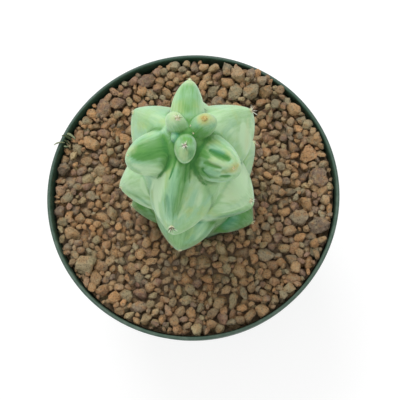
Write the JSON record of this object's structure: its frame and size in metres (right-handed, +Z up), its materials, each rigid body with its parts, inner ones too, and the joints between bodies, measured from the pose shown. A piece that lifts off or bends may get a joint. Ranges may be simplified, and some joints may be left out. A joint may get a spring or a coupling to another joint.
{
  "type": "potted blue myrtle cactus",
  "caption": "Columnar cactus with swollen tubercles and short spines, standing in a round tapered nursery pot filled with potting mix and dressed with gravel.",
  "frame": {"origin": "middle of the pot's base, on the surface that it stands on", "axes": "+Z up along the pot and the plant; +Y towards the back, as the plant is usually seen; +X to the right"},
  "size_m": [0.1054, 0.1054, 0.1609],
  "materials": {
    "pot_plastic": "satin",
    "mix": "matte",
    "grit": "matte",
    "plant": "satin"
  },
  "bodies": {
    "root": {"pot": "pot_plastic", "potting_mix": "mix", "gravel": "grit", "cactus": "plant"}
  },
  "joints": []
}
